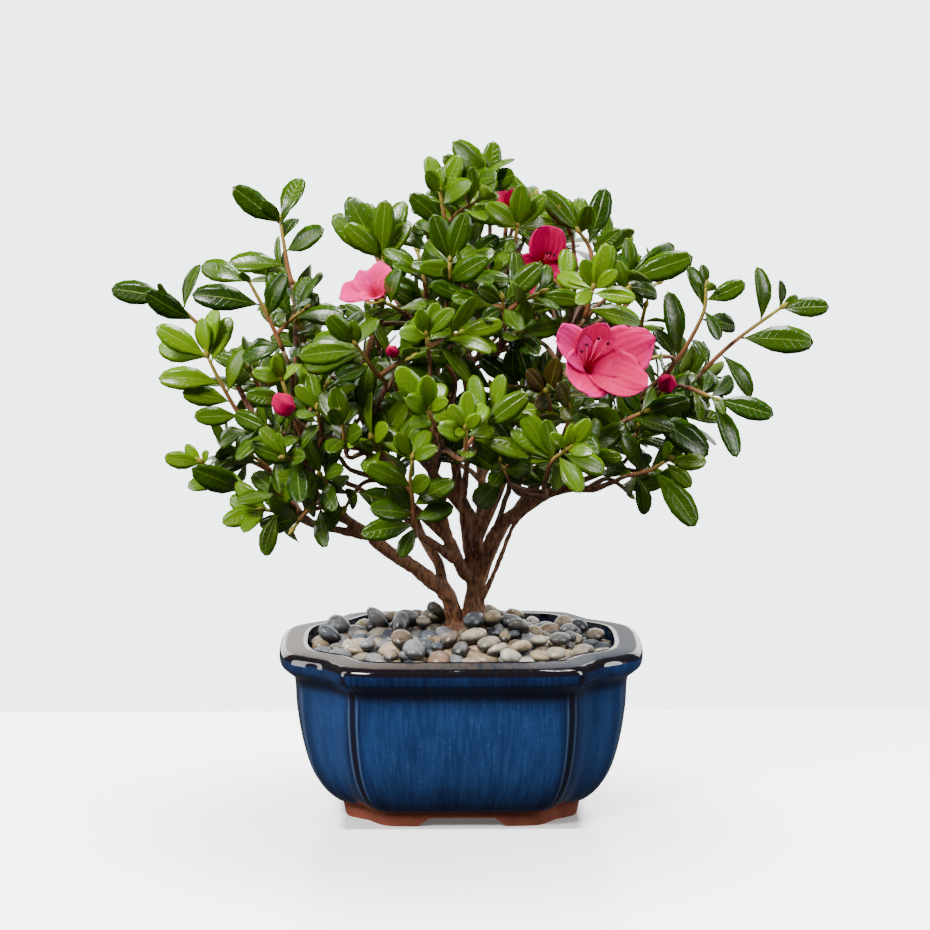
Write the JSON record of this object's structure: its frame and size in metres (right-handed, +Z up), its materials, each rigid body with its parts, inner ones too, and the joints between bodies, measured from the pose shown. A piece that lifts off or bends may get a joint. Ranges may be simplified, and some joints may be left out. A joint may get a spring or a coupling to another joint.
{
  "type": "azalea bonsai",
  "caption": "Flowering azalea bonsai: a small-leaved, many-stemmed tree in pebbles, in a low lobed and glazed pot on corner feet.",
  "frame": {"origin": "on the surface that the pot stands on, under the middle of the whole plant's plan", "axes": "+X along the pot's long side, to the right as seen from the front; +Y from the front to the back; +Z up"},
  "size_m": [0.312, 0.206, 0.293],
  "materials": {
    "glaze": "gloss",
    "screen": "matte",
    "soil": "matte",
    "stone": "satin",
    "bark": "matte",
    "petal": "satin",
    "leaf": "satin"
  },
  "bodies": {
    "root": {"pot": "glaze", "drain_screen_left": "screen", "drain_screen_right": "screen", "soil": "soil", "gravel": "stone", "wood": "bark", "bloom_right": "petal", "bloom_top": "petal", "bloom_left": "petal", "bloom_crown": "petal", "bud_left": "petal", "bud_right": "petal", "bud_centre": "petal", "shoot_upper_left": "leaf", "shoot_left_shoot": "leaf", "shoot_far_left": "leaf", "shoot_left_bright": "leaf", "shoot_low_left": "leaf", "shoot_bottom_left": "leaf", "shoot_left_mid": "leaf", "shoot_left_inner": "leaf", "shoot_stacked_left": "leaf", "shoot_upper_rosette": "leaf", "shoot_mid_left_top": "leaf", "shoot_crown_left": "leaf", "shoot_crown_tip": "leaf", "shoot_crown_front": "leaf", "shoot_crown_right": "leaf", "shoot_right_top": "leaf", "shoot_right_wing": "leaf", "shoot_right_bright": "leaf", "shoot_right_tall": "leaf", "shoot_far_right": "leaf", "shoot_right_hang": "leaf", "shoot_right_low": "leaf", "shoot_right_tip": "leaf", "shoot_front_pair": "leaf", "shoot_front_mid": "leaf", "shoot_front_left": "leaf", "shoot_centre_low": "leaf", "shoot_centre_right": "leaf", "shoot_inner_top": "leaf", "shoot_back_01": "leaf", "shoot_back_02": "leaf", "shoot_back_03": "leaf", "shoot_back_04": "leaf", "shoot_back_05": "leaf", "shoot_back_06": "leaf", "shoot_back_07": "leaf", "shoot_back_08": "leaf", "shoot_back_09": "leaf", "shoot_back_10": "leaf", "shoot_back_11": "leaf", "shoot_back_12": "leaf", "shoot_back_13": "leaf", "shoot_back_14": "leaf", "shoot_back_15": "leaf", "shoot_back_16": "leaf", "shoot_back_17": "leaf"}
  },
  "joints": []
}
